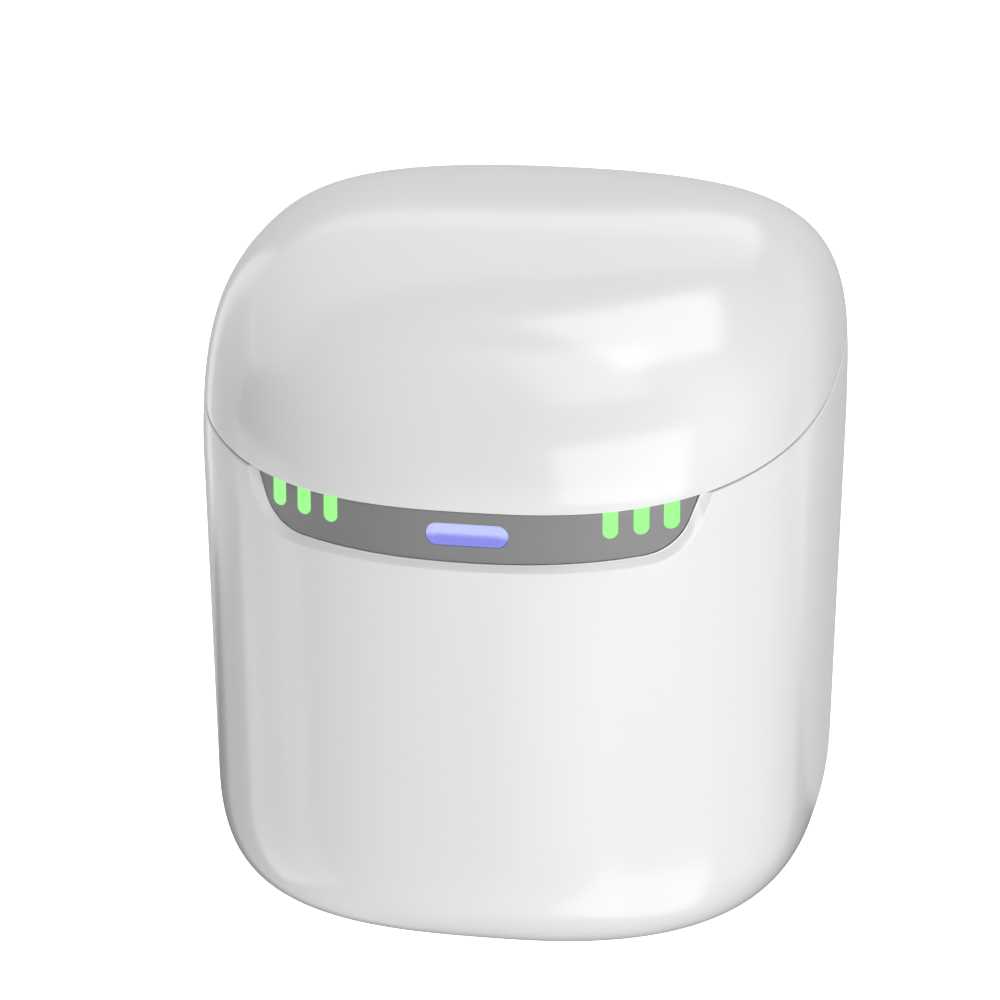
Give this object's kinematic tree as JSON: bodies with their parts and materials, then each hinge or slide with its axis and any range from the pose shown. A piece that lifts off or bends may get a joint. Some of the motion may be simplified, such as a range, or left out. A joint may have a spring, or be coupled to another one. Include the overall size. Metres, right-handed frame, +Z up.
{
  "type": "hearing aid dryer",
  "caption": "Desk-top dryer and charging case for a pair of hearing aids, with a domed hinged lid, a lit start button and status lights on a slim front panel.",
  "frame": {"origin": "centre of the foot pad's underside, on the desk", "axes": "+Z up; the front with the button faces -Y; +X is to the right as seen from the front"},
  "size_m": [0.088, 0.0936, 0.0954],
  "materials": {
    "white_shell": "glossy white moulded plastic",
    "grey_base": "satin light grey moulding",
    "soft_foot": "soft grey non-slip pad",
    "steel": "plain steel",
    "deck_grey": "satin dark grey moulding",
    "soft_cradle": "soft touch grey silicone",
    "mark_blue": "blue dot for the left ear",
    "mark_red": "red dot for the right ear",
    "quartz": "clear window",
    "board_green": "solder mask",
    "led_ceramic": "light source packages",
    "panel_grey": "mid grey satin panel",
    "light_green": "lit green light guide",
    "button_blue": "lit translucent blue-white cap",
    "switch_black": "black component moulding",
    "ribbon_amber": "flat flexible cable",
    "frame_black": "black structural moulding",
    "heater_metal": "finned heater",
    "bronze": "sintered sleeve",
    "copper": "enamelled copper winding",
    "filter_foam": "open foam",
    "ferrite": "ferrite sheet",
    "magnet": "plated magnet",
    "liner_silver": "vacuum metallised reflector",
    "soft_seal": "light grey silicone"
  },
  "bodies": {
    "base": {"body_shell": "white_shell", "base_plate": "grey_base", "foot_pad": "soft_foot", "base_screws": "steel", "hinge_pin": "steel", "deck": "deck_grey", "deck_screws": "steel", "cradle_left": "soft_cradle", "cradle_right": "soft_cradle", "ear_mark_left": "mark_blue", "ear_mark_right": "mark_red", "vent_tower": "deck_grey", "uvc_window": "quartz", "uvc_board": "board_green", "uvc_leds": "led_ceramic", "front_panel": "panel_grey", "light_guide_left": "light_green", "light_guide_right": "light_green", "switch_body": "switch_black", "light_board": "board_green", "indicator_leds": "led_ceramic", "panel_ribbon": "ribbon_amber", "chassis": "frame_black", "air_duct": "frame_black", "heater_core": "heater_metal", "fan_housing": "frame_black", "fan_bearing": "bronze", "fan_stator": "copper", "intake_filter": "filter_foam", "coil_bracket": "frame_black", "charge_coil_left": "copper", "charge_coil_right": "copper", "coil_shield_left": "ferrite", "coil_shield_right": "ferrite", "main_board": "board_green", "board_components": "switch_black", "board_screws": "steel", "usb_socket": "steel", "body_magnets": "magnet"},
    "lid": {"lid_shell": "white_shell", "lid_liner": "liner_silver", "lid_seal": "soft_seal", "lid_magnets": "magnet"},
    "button": {"start_button": "button_blue", "switch_plunger": "switch_black"},
    "rotor": {"fan_rotor": "frame_black", "fan_shaft": "steel"}
  },
  "joints": [
    {"name": "lid_hinge", "type": "hinge", "parent": "base", "child": "lid", "pos_m": [0, 0.04539, 0.07756], "axis": [-1, 0, 0], "range_deg": [0, 100]},
    {"name": "start_press", "type": "slide", "parent": "base", "child": "button", "axis": [0, 1, 0], "range_m": [0, 0.0005], "stiffness_N_per_m": 1500},
    {"name": "fan_spin", "type": "hinge", "parent": "base", "child": "rotor", "pos_m": [0, 0.002, 0.025], "axis": [0, 0, 1], "continuous": true}
  ]
}
